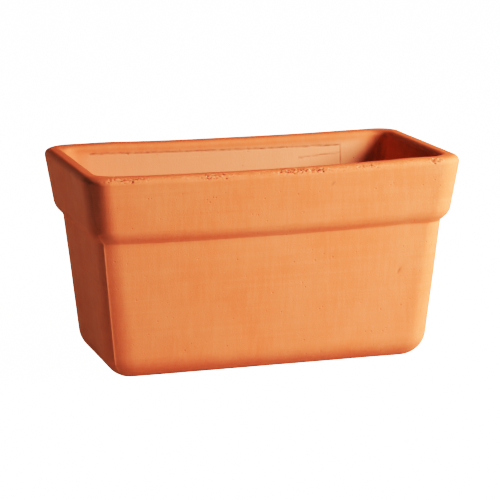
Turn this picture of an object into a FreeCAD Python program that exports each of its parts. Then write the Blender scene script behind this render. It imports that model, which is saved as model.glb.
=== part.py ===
"""Pressed terracotta trough with a drop-in self-watering insert, as a parametric FreeCAD document.

Millimetres, +Z up. X runs along the trough, Y across it, and the front is the -Y side. The origin is on the
surface that the trough stands on, under the middle of its base.

The trough is one thick clay shell with a deep collar. Inside it stands a plastic reservoir tray. A slotted
platform closes the tray and carries the soil. Two slotted cups hang from the platform into the water and wick
it up. A fill tube with a hinged cap lets water in, a float gauge shows the level, and a standpipe in the tray
lets rain that would flood the roots run out through the middle drain hole.
"""

import FreeCAD, Part
import math
import os

import Sketcher
from FreeCAD import Placement, Rotation, Vector

DRIVING_DIMENSIONS = {
    # Clay trough
    "trough_length": 300,
    "trough_width": 172,
    "trough_height": 163,
    "collar_height": 46,
    "bevel_height": 6.5,
    "collar_draft": 6,
    "collar_step": 5.9,
    "end_draft": 9.3,
    "side_draft": 11.5,
    "rim_allowance": 0.76,
    "rim_corner": 20,
    "crease_corner": 17,
    "foot_corner": 21,
    "foot_fillet": 20,
    "rim_wall": 14,
    "rim_fillet": 5.5,
    "collar_fillet": 2.5,
    "crease_fillet": 2,
    "floor_thickness": 13,
    "cavity_draft": 18,
    "cavity_corner": 14,
    "cavity_fillet": 6,
    "drain_radius": 10,
    "drain_spacing": 85,
    "middle_drain_radius": 13,
    # Reservoir tray
    "tray_length": 230,
    "tray_width": 100,
    "tray_height": 48,
    "tray_draft": 6,
    "tray_wall": 2.2,
    "tray_corner": 14,
    "tray_fillet": 5,
    "tray_rim_height": 3,
    "tray_rim_out": 1,
    # Overflow standpipe
    "pipe_radius": 7,
    "pipe_bore": 5,
    "pipe_top": 37,
    "pipe_tail": 11,
    "pipe_flange_radius": 12,
    "pipe_flange_height": 2.5,
    "gasket_height": 1.5,
    "nut_circumradius": 11.5,
    "nut_height": 5,
    "thread_clearance": 0.05,
    # Soil platform
    "platform_length": 245,
    "platform_width": 115,
    "platform_thickness": 3,
    "platform_corner": 13,
    "skirt_inset": 5,
    "skirt_wall": 2,
    "skirt_height": 6,
    "slot_length": 16,
    "slot_width": 3.5,
    "slot_pitch": 24,
    "slot_row": 46,
    "air_hole_radius": 2.5,
    "air_hole_pitch": 12,
    # Platform legs
    "leg_radius": 7,
    "leg_bore": 5,
    "leg_cap": 4,
    "peg_radius": 3,
    "leg_near": 20,
    "leg_far": 94,
    "leg_row": 30,
    # Wick cups
    "cup_spacing": 48,
    "cup_floor_gap": 2,
    "cup_top_radius": 22,
    "cup_foot_radius": 16,
    "cup_flange_radius": 26,
    "cup_wall": 2,
    "cup_slot_width": 3,
    "cup_slot_foot": 8,
    "cup_slot_height": 26,
    # Fill tube, its collar and its cap
    "service_x": 88,
    "service_y": 24,
    "tube_radius": 13,
    "tube_bore": 11,
    "tube_floor_gap": 5,
    "tube_length": 120,
    "tube_flange_radius": 17,
    "tube_flange_height": 2,
    "cap_radius": 15.5,
    "cap_thickness": 3,
    "cap_gap": 0.2,
    "cap_flat": 13.2,
    "cap_plug_radius": 9.5,
    "cap_plug_depth": 3,
    "cap_tab_length": 4,
    "cap_tab_width": 10,
    "collar_ring_height": 9,
    "hinge_y": 18,
    "hinge_height": 2,
    "hinge_pin_radius": 1.5,
    "ear_inside": 5,
    "ear_width": 3,
    "ear_radius": 2.8,
    "knuckle_radius": 2.4,
    "knuckle_half_width": 4.7,
    # Float gauge
    "well_radius": 16.5,
    "well_wall": 1.6,
    "well_lip": 3,
    "well_shoulder": 2,
    "well_floor_gap": 0.8,
    "well_slot_width": 6,
    "well_slot_foot": 6,
    "well_slot_height": 28,
    "guide_tube_radius": 8,
    "guide_tube_bore": 6.4,
    "guide_tube_length": 45,
    "guide_height": 6,
    "guide_clearance": 0.35,
    "retainer_radius": 13,
    "retainer_height": 5,
    "float_radius": 14,
    "float_height": 14,
    "float_fillet": 2,
    "rod_radius": 2,
    "tip_radius": 4,
    "tip_height": 6,
    "float_travel": 27,
    "sight_wall": 1.5,
    "sight_lap": 8,
    "sight_head": 36,
}

CREASE_LEVEL = "dims.trough_height - dims.collar_height - dims.bevel_height"
COLLAR_LEVEL = "dims.trough_height - dims.collar_height"
CREASE_LENGTH = "dims.trough_length - 2 * dims.collar_draft - 2 * dims.collar_step"
CREASE_WIDTH = "dims.trough_width - 2 * dims.collar_draft - 2 * dims.collar_step"
TRAY_FLOOR = "dims.floor_thickness + dims.tray_wall"
PLATFORM_LEVEL = "dims.floor_thickness + dims.tray_height"
PLATFORM_TOP = PLATFORM_LEVEL + " + dims.platform_thickness"
TUBE_FOOT = TRAY_FLOOR + " + dims.tube_floor_gap"
TUBE_TOP = TUBE_FOOT + " + dims.tube_length"
WELL_FOOT = TRAY_FLOOR + " + dims.well_floor_gap"
WELL_HEIGHT = "(" + PLATFORM_LEVEL + ") - (" + WELL_FOOT + ")"
GUIDE_TUBE_TOP = PLATFORM_LEVEL + " + dims.guide_tube_length"
FLOAT_FOOT = WELL_FOOT + " + 1.4"

doc = FreeCAD.newDocument("SelfWateringTrough")
nodes = []


def fill_sheet():
    """Writes the driving dimensions into the document's spreadsheet, one aliased cell each."""
    sheet = doc.addObject("Spreadsheet::Sheet", "dims")
    for row, (alias, value) in enumerate(DRIVING_DIMENSIONS.items(), start=1):
        sheet.set(f"A{row}", alias)
        sheet.set(f"B{row}", str(value))
        sheet.setAlias(f"B{row}", alias)
    doc.recompute()
    return sheet


dims = fill_sheet()


def size(expression):
    """The present value of an expression of the sheet's cells."""
    return float(dims.evalExpression(expression))


def add_node(feature, label):
    """Keeps a finished sub-part under the name of its node."""
    feature.Label = label
    nodes.append(feature)
    return feature


def new_body(label, spot=("0", "0", "0")):
    """An empty PartDesign body, placed at a spot given by three expressions."""
    body = doc.addObject("PartDesign::Body", label)
    for axis, expression in zip("xyz", spot):
        body.setExpression(f"Placement.Base.{axis}", expression)
    return add_node(body, label)


def origin_part(body, role):
    """One of the planes or axes of the body's own origin."""
    return next(item for item in body.Origin.OriginFeatures if item.Role == role)


def new_sketch(body, name, role="XY_Plane", level="0"):
    """A sketch on one of the body's origin planes, raised by the expression level."""
    sketch = body.newObject("Sketcher::SketchObject", name)
    sketch.AttachmentSupport = (origin_part(body, role), [""])
    sketch.MapMode = "FlatFace"
    sketch.setExpression("AttachmentOffset.Base.z", level)
    return sketch


def bind(sketch, kind, *references, expression):
    """Adds a dimension to the sketch and ties it to an expression of the sheet."""
    index = sketch.addConstraint(Sketcher.Constraint(kind, *references, size(expression)))
    sketch.setExpression(f"Constraints[{index}]", expression)


def pin_down(sketch, geometry, point, x, y):
    """Fixes one point of a sketch at two expressions, measured from the sketch's origin."""
    for kind, axis, expression in (("DistanceX", -2, x), ("DistanceY", -1, y)):
        value = size(expression)
        if abs(value) < 1e-9:
            sketch.addConstraint(Sketcher.Constraint("PointOnObject", geometry, point, axis))
        elif value > 0:
            bind(sketch, kind, -1, 1, geometry, point, expression=expression)
        else:
            bind(sketch, kind, geometry, point, -1, 1, expression=f"-({expression})")


def draw_outline(sketch, corners):
    """A closed outline of straight lines through corners given as pairs of expressions."""
    places = [Vector(size(x), size(y), 0) for x, y in corners]
    count = len(places)
    for index in range(count):
        sketch.addGeometry(Part.LineSegment(places[index], places[(index + 1) % count]), False)
    for index in range(count):
        sketch.addConstraint(Sketcher.Constraint("Coincident", index, 2, (index + 1) % count, 1))
    for index, (x, y) in enumerate(corners):
        pin_down(sketch, index, 1, x, y)


def draw_circle(sketch, x, y, radius):
    """A circle about a point given by two expressions."""
    centre = Vector(size(x), size(y), 0)
    index = sketch.addGeometry(Part.Circle(centre, Vector(0, 0, 1), size(radius)), False)
    bind(sketch, "Radius", index, expression=radius)
    pin_down(sketch, index, 3, x, y)


def draw_rounded_rectangle(sketch, length, width, corner):
    """A rectangle with round corners about the sketch's origin."""
    half_x, half_y, radius = size(length) / 2, size(width) / 2, size(corner)
    in_x, in_y = half_x - radius, half_y - radius
    first = sketch.GeometryCount
    sides = (
        ((-in_x, half_y), (in_x, half_y)),
        ((half_x, in_y), (half_x, -in_y)),
        ((in_x, -half_y), (-in_x, -half_y)),
        ((-half_x, -in_y), (-half_x, in_y)),
    )
    for start, end in sides:
        sketch.addGeometry(Part.LineSegment(Vector(*start, 0), Vector(*end, 0)), False)
    quarter = math.pi / 2
    for turn, (x, y) in zip((0, 3, 2, 1), ((in_x, in_y), (in_x, -in_y), (-in_x, -in_y), (-in_x, in_y))):
        circle = Part.Circle(Vector(x, y, 0), Vector(0, 0, 1), radius)
        sketch.addGeometry(Part.ArcOfCircle(circle, turn * quarter, (turn + 1) * quarter), False)
    for index in range(4):
        side, arc, following = first + index, first + 4 + index, first + (index + 1) % 4
        sketch.addConstraint(Sketcher.Constraint("Tangent", side, 2, arc, 2))
        sketch.addConstraint(Sketcher.Constraint("Tangent", arc, 1, following, 1))
        sketch.addConstraint(Sketcher.Constraint(("Horizontal", "Vertical")[index % 2], side))
        if index:
            sketch.addConstraint(Sketcher.Constraint("Equal", first + 4, arc))
    sketch.addConstraint(Sketcher.Constraint("Symmetric", first + 4, 3, first + 6, 3, -1, 1))
    bind(sketch, "Radius", first + 4, expression=corner)
    bind(sketch, "DistanceX", first + 3, 1, first + 1, 1, expression=length)
    bind(sketch, "DistanceY", first + 2, 1, first, 1, expression=width)


def rounded_section(body, name, level, length, width, corner):
    """A level sketch of a rounded rectangle."""
    sketch = new_sketch(body, name, level=level)
    draw_rounded_rectangle(sketch, length, width, corner)
    return sketch


def loft(body, kind, name, *sections):
    """A ruled loft, added to or cut from the body."""
    feature = body.newObject(f"PartDesign::{kind}Loft", name)
    feature.Profile = sections[0]
    feature.Sections = list(sections[1:])
    feature.Ruled = True
    return feature


def pad(body, name, sketch, height):
    """Raises a sketch upwards into material."""
    feature = body.newObject("PartDesign::Pad", name)
    feature.Profile = sketch
    feature.setExpression("Length", height)
    return feature


def pocket(body, name, sketch, depth, upwards=True):
    """Cuts a sketch into the body, and stops if that removes nothing."""
    doc.recompute()
    before = body.Shape.Volume
    feature = body.newObject("PartDesign::Pocket", name)
    feature.Profile = sketch
    feature.Reversed = upwards
    feature.setExpression("Length", depth)
    doc.recompute()
    if body.Shape.Volume > before - 1e-3:
        raise RuntimeError(f"{name} removes nothing from {body.Label}")
    return feature


def revolve(body, corners, name="turned"):
    """A solid of revolution about the body's Z axis from an outline of (radius, height) expressions."""
    sketch = new_sketch(body, f"{name}_outline", "XZ_Plane")
    draw_outline(sketch, corners)
    feature = body.newObject("PartDesign::Revolution", name)
    feature.Profile = sketch
    feature.ReferenceAxis = (sketch, ["V_Axis"])
    feature.Angle = 360
    return feature


def fillet(body, name, base, radius, wanted):
    """Rounds the edges of a feature for which wanted(edge) holds."""
    doc.recompute()
    picked = [f"Edge{i}" for i, edge in enumerate(base.Shape.Edges, start=1) if wanted(edge)]
    feature = body.newObject("PartDesign::Fillet", name)
    feature.Base = (base, picked)
    feature.setExpression("Radius", radius)
    return feature


def is_round(edge):
    """Whether an edge is a circle or part of one."""
    return edge.Curve.TypeId == "Part::GeomCircle"


def lies_at(level):
    """A test for edges that lie at a height given by an expression."""
    height = size(level)

    def holds(edge):
        box = edge.BoundBox
        return abs(box.ZMin - height) < 1e-4 and abs(box.ZMax - height) < 1e-4

    return holds


def polar_pattern(body, name, original, count):
    """Repeats a feature about the body's Z axis."""
    feature = body.newObject("PartDesign::PolarPattern", name)
    feature.Originals = [original]
    feature.Axis = (origin_part(body, "Z_Axis"), [""])
    feature.Angle = 360
    feature.Occurrences = count
    body.Tip = feature
    return feature


def grid_pattern(body, name, original, across, along):
    """Repeats a feature on a grid; across and along are (span expression, count) for X and Y."""
    feature = body.newObject("PartDesign::LinearPattern", name)
    feature.Originals = [original]
    feature.Direction = (origin_part(body, "X_Axis"), [""])
    feature.setExpression("Length", across[0])
    feature.Occurrences = across[1]
    feature.Direction2 = (origin_part(body, "Y_Axis"), [""])
    feature.setExpression("Length2", along[0])
    feature.Occurrences2 = along[1]
    body.Tip = feature
    return feature


# ---------------------------------------------------------------- clay trough


def make_terracotta_trough():
    """The fired clay shell: tapered body, rolled foot, deep collar, round rim and three drain holes."""
    body = new_body("terracotta_trough")
    foot_length = f"{CREASE_LENGTH} - 2 * dims.end_draft"
    foot_width = f"{CREASE_WIDTH} - 2 * dims.side_draft"
    foot = rounded_section(body, "foot", "0", foot_length, foot_width, "dims.foot_corner")
    crease = rounded_section(
        body, "crease", CREASE_LEVEL, CREASE_LENGTH, CREASE_WIDTH, "dims.crease_corner"
    )
    collar = rounded_section(
        body,
        "collar_edge",
        COLLAR_LEVEL,
        "dims.trough_length - 2 * dims.collar_draft",
        "dims.trough_width - 2 * dims.collar_draft",
        "dims.crease_corner + dims.crease_fillet",
    )
    rim = rounded_section(
        body,
        "rim",
        "dims.trough_height",
        "dims.trough_length + 2 * dims.rim_allowance",
        "dims.trough_width + 2 * dims.rim_allowance",
        "dims.rim_corner",
    )
    wall = loft(body, "Additive", "tapered_wall", crease, foot)
    doc.recompute()
    fillet(body, "rolled_foot", wall, "dims.foot_fillet", lies_at("0"))
    loft(body, "Additive", "collar_bevel", crease, collar)
    band = loft(body, "Additive", "collar_band", collar, rim)
    doc.recompute()
    soft_edge = fillet(body, "collar_soft_edge", band, "dims.collar_fillet", lies_at(COLLAR_LEVEL))
    fillet(body, "crease_soft_edge", soft_edge, "dims.crease_fillet", lies_at(CREASE_LEVEL))
    mouth_length = "dims.trough_length - 2 * dims.rim_wall"
    mouth_width = "dims.trough_width - 2 * dims.rim_wall"
    mouth = rounded_section(
        body, "mouth", "dims.trough_height", mouth_length, mouth_width, "dims.cavity_corner"
    )
    floor = rounded_section(
        body,
        "cavity_floor",
        "dims.floor_thickness",
        f"{mouth_length} - 2 * dims.cavity_draft",
        f"{mouth_width} - 2 * dims.cavity_draft",
        "dims.cavity_corner",
    )
    cavity = loft(body, "Subtractive", "cavity", mouth, floor)
    doc.recompute()
    inner_foot = fillet(
        body, "cavity_rolled_foot", cavity, "dims.cavity_fillet", lies_at("dims.floor_thickness")
    )
    fillet(body, "round_rim", inner_foot, "dims.rim_fillet", lies_at("dims.trough_height"))
    drains = new_sketch(body, "drain_circles")
    draw_circle(drains, "0", "0", "dims.middle_drain_radius")
    draw_circle(drains, "dims.drain_spacing", "0", "dims.drain_radius")
    draw_circle(drains, "-dims.drain_spacing", "0", "dims.drain_radius")
    pocket(body, "drain_holes", drains, "dims.floor_thickness + 1")


# ---------------------------------------------------------------- reservoir tray and its overflow


def make_reservoir_tray():
    """A thin tub with a stiff rim that keeps the water off the porous clay."""
    body = new_body("reservoir_tray", ("0", "0", "dims.floor_thickness"))
    top_length = "dims.tray_length + 2 * dims.tray_draft"
    top_width = "dims.tray_width + 2 * dims.tray_draft"
    foot = rounded_section(body, "foot", "0", "dims.tray_length", "dims.tray_width", "dims.tray_corner")
    top = rounded_section(body, "top", "dims.tray_height", top_length, top_width, "dims.tray_corner")
    tub = loft(body, "Additive", "tub", top, foot)
    doc.recompute()
    fillet(body, "rolled_foot", tub, "dims.tray_fillet", lies_at("0"))
    rim = rounded_section(
        body,
        "rim_section",
        "dims.tray_height - dims.tray_rim_height",
        f"{top_length} + 2 * dims.tray_rim_out",
        f"{top_width} + 2 * dims.tray_rim_out",
        "dims.tray_corner",
    )
    pad(body, "rim", rim, "dims.tray_rim_height")
    inner_top = rounded_section(
        body,
        "inner_top",
        "dims.tray_height",
        f"{top_length} - 2 * dims.tray_wall",
        f"{top_width} - 2 * dims.tray_wall",
        "dims.tray_corner - dims.tray_wall",
    )
    inner_foot = rounded_section(
        body,
        "inner_foot",
        "dims.tray_wall",
        "dims.tray_length - 2 * dims.tray_wall",
        "dims.tray_width - 2 * dims.tray_wall",
        "dims.tray_corner - dims.tray_wall",
    )
    hollow = loft(body, "Subtractive", "hollow", inner_top, inner_foot)
    doc.recompute()
    inner_radius = "dims.tray_fillet - dims.tray_wall"
    fillet(body, "inner_rolled_foot", hollow, inner_radius, lies_at("dims.tray_wall"))
    hole = new_sketch(body, "outlet_circle")
    draw_circle(hole, "0", "0", "dims.pipe_radius + 5 * dims.thread_clearance")
    pocket(body, "outlet", hole, "dims.tray_wall + 1")


def make_overflow_pipe():
    """A standpipe with a flange. Water above its mouth runs down through it and out under the trough."""
    foot = f"{TRAY_FLOOR} - dims.tray_wall - dims.pipe_tail"
    body = new_body("overflow_pipe", ("0", "0", foot))
    flange_foot = "dims.pipe_tail + dims.tray_wall + dims.gasket_height"
    flange_top = f"{flange_foot} + dims.pipe_flange_height"
    top = "dims.pipe_tail + dims.pipe_top"
    revolve(
        body,
        (
            ("dims.pipe_bore", "0"),
            ("dims.pipe_radius", "0"),
            ("dims.pipe_radius", flange_foot),
            ("dims.pipe_flange_radius", flange_foot),
            ("dims.pipe_flange_radius", flange_top),
            ("dims.pipe_radius", flange_top),
            ("dims.pipe_radius", top),
            ("dims.pipe_bore", top),
        ),
    )


def make_overflow_gasket():
    """A flat rubber ring under the standpipe's flange."""
    body = new_body("overflow_gasket", ("0", "0", TRAY_FLOOR))
    ring = new_sketch(body, "ring")
    draw_circle(ring, "0", "0", "dims.pipe_flange_radius")
    draw_circle(ring, "0", "0", "dims.pipe_radius + dims.thread_clearance")
    pad(body, "washer", ring, "dims.gasket_height")


def make_overflow_nut():
    """A hexagonal back nut that clamps the standpipe from below the tray."""
    level = "dims.floor_thickness - dims.nut_height"
    prism = doc.addObject("Part::Prism", "nut_blank")
    prism.Polygon = 6
    prism.setExpression("Circumradius", "dims.nut_circumradius")
    prism.setExpression("Height", "dims.nut_height")
    bore = doc.addObject("Part::Cylinder", "nut_bore")
    bore.setExpression("Radius", "dims.pipe_radius + dims.thread_clearance")
    bore.setExpression("Height", "dims.nut_height")
    nut = doc.addObject("Part::Cut", "overflow_nut")
    nut.Base = prism
    nut.Tool = bore
    nut.setExpression("Placement.Base.z", level)
    add_node(nut, "overflow_nut")


# ---------------------------------------------------------------- soil platform, its legs and the wick cups


def leg_spots():
    """Name and place of each platform leg. The front corners are left free for the tube and the gauge."""
    spots = {}
    for side, sign in (("left", "-"), ("right", "")):
        spots[f"front_{side}"] = (f"{sign}dims.leg_near", "-dims.leg_row")
        spots[f"back_{side}"] = (f"{sign}dims.leg_near", "dims.leg_row")
        spots[f"end_{side}"] = (f"{sign}dims.leg_far", "dims.leg_row")
    return spots


def make_soil_platform():
    """The slotted deck with a locating skirt and holes for the cups, the tube, the gauge and the legs."""
    body = new_body("soil_platform", ("0", "0", PLATFORM_LEVEL))
    skirt_length = "dims.platform_length - 2 * dims.skirt_inset"
    skirt_width = "dims.platform_width - 2 * dims.skirt_inset"
    deck = rounded_section(
        body, "deck_section", "0", "dims.platform_length", "dims.platform_width", "dims.platform_corner"
    )
    pad(body, "deck", deck, "dims.platform_thickness")
    skirt = rounded_section(
        body, "skirt_section", "-dims.skirt_height", skirt_length, skirt_width, "dims.platform_corner"
    )
    draw_rounded_rectangle(
        skirt,
        f"{skirt_length} - 2 * dims.skirt_wall",
        f"{skirt_width} - 2 * dims.skirt_wall",
        "dims.platform_corner - dims.skirt_wall",
    )
    pad(body, "skirt", skirt, "dims.skirt_height")
    holes = new_sketch(body, "fitting_circles")
    for sign in ("", "-"):
        draw_circle(holes, f"{sign}dims.cup_spacing", "0", "dims.cup_top_radius + dims.guide_clearance")
    draw_circle(holes, "dims.service_x", "-dims.service_y", "dims.tube_radius + dims.guide_clearance")
    guide_hole = "dims.guide_tube_radius + dims.guide_clearance"
    draw_circle(holes, "-dims.service_x", "-dims.service_y", guide_hole)
    for x, y in leg_spots().values():
        draw_circle(holes, x, y, "dims.peg_radius + dims.thread_clearance")
    pocket(body, "fitting_holes", holes, "dims.platform_thickness")
    slot = new_sketch(body, "slot_outline")
    left = "-4 * dims.slot_pitch - dims.slot_length / 2"
    right = "-4 * dims.slot_pitch + dims.slot_length / 2"
    low, high = "-dims.slot_row - dims.slot_width / 2", "-dims.slot_row + dims.slot_width / 2"
    draw_outline(slot, ((left, low), (right, low), (right, high), (left, high)))
    slots = pocket(body, "drain_slot", slot, "dims.platform_thickness")
    grid_pattern(body, "drain_slots", slots, ("8 * dims.slot_pitch", 9), ("2 * dims.slot_row", 2))
    air_grids = (
        ("middle", "-1.5 * dims.air_hole_pitch", "-dims.air_hole_pitch", 4, 3),
        ("right", "7 * dims.air_hole_pitch", "dims.air_hole_pitch / 6", 3, 2),
        ("left", "-9 * dims.air_hole_pitch", "dims.air_hole_pitch / 6", 3, 2),
    )
    for place, x, y, across, along in air_grids:
        circle = new_sketch(body, f"{place}_air_circle")
        draw_circle(circle, x, y, "dims.air_hole_radius")
        hole = pocket(body, f"{place}_air_hole", circle, "dims.platform_thickness")
        grid_pattern(
            body,
            f"{place}_air_holes",
            hole,
            (f"{across - 1} * dims.air_hole_pitch", across),
            (f"{along - 1} * dims.air_hole_pitch", along),
        )


def make_platform_legs():
    """Hollow turned legs that stand on the tray's floor. A peg on each is pressed into the deck."""
    height = f"({PLATFORM_LEVEL}) - ({TRAY_FLOOR})"
    for name, (x, y) in leg_spots().items():
        body = new_body(f"platform_leg_{name}", (x, y, TRAY_FLOOR))
        revolve(
            body,
            (
                ("dims.leg_bore", "0"),
                ("dims.leg_radius", "0"),
                ("dims.leg_radius", height),
                ("dims.peg_radius", height),
                ("dims.peg_radius", f"{height} + dims.platform_thickness"),
                ("0", f"{height} + dims.platform_thickness"),
                ("0", f"{height} - dims.leg_cap"),
                ("dims.leg_bore", f"{height} - dims.leg_cap"),
            ),
        )


def make_wick_cups():
    """Tapered slotted cups. The soil in them stands in the water and draws it up."""
    foot = f"{TRAY_FLOOR} + dims.cup_floor_gap"
    depth = f"({PLATFORM_TOP}) - ({foot})"
    for name, sign in (("left", "-"), ("right", "")):
        body = new_body(f"wick_cup_{name}", (f"{sign}dims.cup_spacing", "0", foot))
        revolve(
            body,
            (
                ("0", "0"),
                ("dims.cup_foot_radius", "0"),
                ("dims.cup_top_radius", depth),
                ("dims.cup_flange_radius", depth),
                ("dims.cup_flange_radius", f"{depth} + dims.cup_wall"),
                ("dims.cup_top_radius - dims.cup_wall", f"{depth} + dims.cup_wall"),
                ("dims.cup_foot_radius - dims.cup_wall", "dims.cup_wall"),
                ("0", "dims.cup_wall"),
            ),
        )
        add_wall_slots(body, "dims.cup_slot_width", "dims.cup_slot_foot", "dims.cup_slot_height", 10)


def add_wall_slots(body, width, foot, height, count):
    """Upright slots through a round wall, evenly spaced about the body's Z axis."""
    outline = new_sketch(body, "wall_slot_outline", "XZ_Plane")
    left, right, top = f"-{width} / 2", f"{width} / 2", f"{foot} + {height}"
    draw_outline(outline, ((left, foot), (right, foot), (right, top), (left, top)))
    slot = pocket(body, "wall_slot", outline, "2 * dims.cup_top_radius", upwards=False)
    polar_pattern(body, "wall_slots", slot, count)


# ---------------------------------------------------------------- fill tube with its hinged cap


def make_fill_tube():
    """The upright tube that leads water down past the soil. Its flange stands on the platform."""
    body = new_body("fill_tube", ("dims.service_x", "-dims.service_y", TUBE_FOOT))
    flange_foot = f"({PLATFORM_TOP}) - ({TUBE_FOOT})"
    flange_top = f"{flange_foot} + dims.tube_flange_height"
    revolve(
        body,
        (
            ("dims.tube_bore", "0"),
            ("dims.tube_radius", "0"),
            ("dims.tube_radius", flange_foot),
            ("dims.tube_flange_radius", flange_foot),
            ("dims.tube_flange_radius", flange_top),
            ("dims.tube_radius", flange_top),
            ("dims.tube_radius", "dims.tube_length"),
            ("dims.tube_bore", "dims.tube_length"),
        ),
    )


def box(name, low, high):
    """A Part::Box between two corners, each three expressions."""
    block = doc.addObject("Part::Box", name)
    for axis, extent, first, last in zip("xyz", ("Length", "Width", "Height"), low, high):
        block.setExpression(f"Placement.Base.{axis}", first)
        block.setExpression(extent, f"({last}) - ({first})")
    return block


def cylinder(name, radius, height, spot=("0", "0", "0"), along_x=False):
    """A Part::Cylinder that stands up from a spot, or lies along X from it."""
    rod = doc.addObject("Part::Cylinder", name)
    rod.setExpression("Radius", radius)
    rod.setExpression("Height", height)
    if along_x:
        rod.Placement = Placement(Vector(), Rotation(Vector(0, 1, 0), 90))
    for axis, expression in zip("xyz", spot):
        rod.setExpression(f"Placement.Base.{axis}", expression)
    return rod


def cut(name, base, tool):
    """One shape less another."""
    feature = doc.addObject("Part::Cut", name)
    feature.Base = base
    feature.Tool = tool
    return feature


def fuse(name, *shapes):
    """Several shapes made one."""
    feature = doc.addObject("Part::MultiFuse", name)
    feature.Shapes = list(shapes)
    feature.Refine = True
    return feature


def place_at_tube_top(feature, label):
    """Moves a piece drawn about the middle of the fill tube's mouth to where that mouth is."""
    for axis, expression in zip("xyz", ("dims.service_x", "-dims.service_y", TUBE_TOP)):
        feature.setExpression(f"Placement.Base.{axis}", expression)
    return add_node(feature, label)


def make_fill_collar():
    """A ring pushed over the tube's mouth, with two ears that hold the hinge pin."""
    outer = cylinder(
        "collar_blank", "dims.cap_radius", "dims.collar_ring_height", ("0", "0", "-dims.collar_ring_height")
    )
    ears = []
    for name, sign in (("left", -1), ("right", 1)):
        inner_x, outer_x = "dims.ear_inside", "dims.ear_inside + dims.ear_width"
        low_x, high_x = (f"-({outer_x})", f"-({inner_x})") if sign < 0 else (inner_x, outer_x)
        ears.append(
            box(
                f"{name}_ear",
                (low_x, "dims.hinge_y - dims.ear_radius - 1.4", "-dims.collar_ring_height"),
                (high_x, "dims.hinge_y", "dims.hinge_height"),
            )
        )
        ears.append(
            cylinder(
                f"{name}_ear_eye",
                "dims.ear_radius",
                "dims.ear_width",
                (low_x, "dims.hinge_y", "dims.hinge_height"),
                along_x=True,
            )
        )
    bridge = box(
        "ear_bridge",
        ("-dims.ear_inside - dims.ear_width", "dims.tube_radius", "-dims.collar_ring_height"),
        ("dims.ear_inside + dims.ear_width", "dims.hinge_y", "-dims.collar_ring_height / 3"),
    )
    whole = fuse("collar_whole", outer, bridge, *ears)
    bore = cylinder(
        "collar_bore",
        "dims.tube_radius + dims.thread_clearance",
        "3 * dims.collar_ring_height",
        ("0", "0", "-2 * dims.collar_ring_height"),
    )
    pin_hole = cylinder(
        "collar_pin_hole",
        "dims.hinge_pin_radius + dims.thread_clearance / 2",
        "4 * dims.ear_inside",
        ("-2 * dims.ear_inside", "dims.hinge_y", "dims.hinge_height"),
        along_x=True,
    )
    place_at_tube_top(cut("fill_collar", cut("collar_bored", whole, bore), pin_hole), "fill_collar")


def make_fill_cap():
    """The flip lid: a disc with a plug, a finger tab and a knuckle on the hinge pin."""
    gap, top = "dims.cap_gap", "dims.cap_gap + dims.cap_thickness"
    disc = cylinder("cap_disc", "dims.cap_radius", "dims.cap_thickness", ("0", "0", gap))
    beyond = box(
        "beyond_the_flat",
        ("-dims.cap_radius", "dims.cap_flat", "-dims.cap_thickness"),
        ("dims.cap_radius", "2 * dims.cap_radius", "3 * dims.cap_thickness"),
    )
    plug = cylinder(
        "cap_plug",
        "dims.cap_plug_radius",
        "dims.cap_plug_depth + dims.cap_gap",
        ("0", "0", "-dims.cap_plug_depth"),
    )
    tab = box(
        "finger_tab",
        ("-dims.cap_tab_width / 2", "-dims.cap_radius - dims.cap_tab_length", gap),
        ("dims.cap_tab_width / 2", "-dims.cap_radius + 2", f"{top} - 1"),
    )
    strap = box(
        "knuckle_strap",
        ("-dims.knuckle_half_width", "dims.cap_flat - 1", gap),
        ("dims.knuckle_half_width", "dims.hinge_y", top),
    )
    knuckle = cylinder(
        "knuckle",
        "dims.knuckle_radius",
        "2 * dims.knuckle_half_width",
        ("-dims.knuckle_half_width", "dims.hinge_y", "dims.hinge_height"),
        along_x=True,
    )
    whole = fuse("cap_whole", cut("cap_disc_cut", disc, beyond), plug, tab, strap, knuckle)
    pin_hole = cylinder(
        "cap_pin_hole",
        "dims.hinge_pin_radius + dims.thread_clearance",
        "4 * dims.ear_inside",
        ("-2 * dims.ear_inside", "dims.hinge_y", "dims.hinge_height"),
        along_x=True,
    )
    place_at_tube_top(cut("fill_cap", whole, pin_hole), "fill_cap")


def make_fill_hinge_pin():
    """The steel pin through the collar's ears and the cap's knuckle."""
    pin = cylinder(
        "fill_hinge_pin",
        "dims.hinge_pin_radius",
        "2 * dims.ear_inside + 2 * dims.ear_width",
        (
            "dims.service_x - dims.ear_inside - dims.ear_width",
            "-dims.service_y + dims.hinge_y",
            f"{TUBE_TOP} + dims.hinge_height",
        ),
        along_x=True,
    )
    add_node(pin, "fill_hinge_pin")


# ---------------------------------------------------------------- float gauge


def gauge_spot(level):
    """The gauge's place at a level given by an expression."""
    return ("-dims.service_x", "-dims.service_y", level)


def make_gauge_well():
    """A slotted cage for the float below the platform, drawn in to a guide tube above it."""
    body = new_body("gauge_well", gauge_spot(WELL_FOOT))
    tube_top = f"{WELL_HEIGHT} + dims.guide_tube_length"
    inside = "dims.well_radius - dims.well_wall"
    revolve(
        body,
        (
            (f"{inside} - dims.well_lip", "0"),
            ("dims.well_radius", "0"),
            ("dims.well_radius", WELL_HEIGHT),
            ("dims.guide_tube_radius", WELL_HEIGHT),
            ("dims.guide_tube_radius", tube_top),
            ("dims.guide_tube_bore", tube_top),
            ("dims.guide_tube_bore", f"{WELL_HEIGHT} - dims.well_shoulder"),
            (inside, f"{WELL_HEIGHT} - dims.well_shoulder"),
            (inside, "1"),
            (f"{inside} - dims.well_lip", "1"),
        ),
    )
    add_wall_slots(body, "dims.well_slot_width", "dims.well_slot_foot", "dims.well_slot_height", 6)


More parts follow.
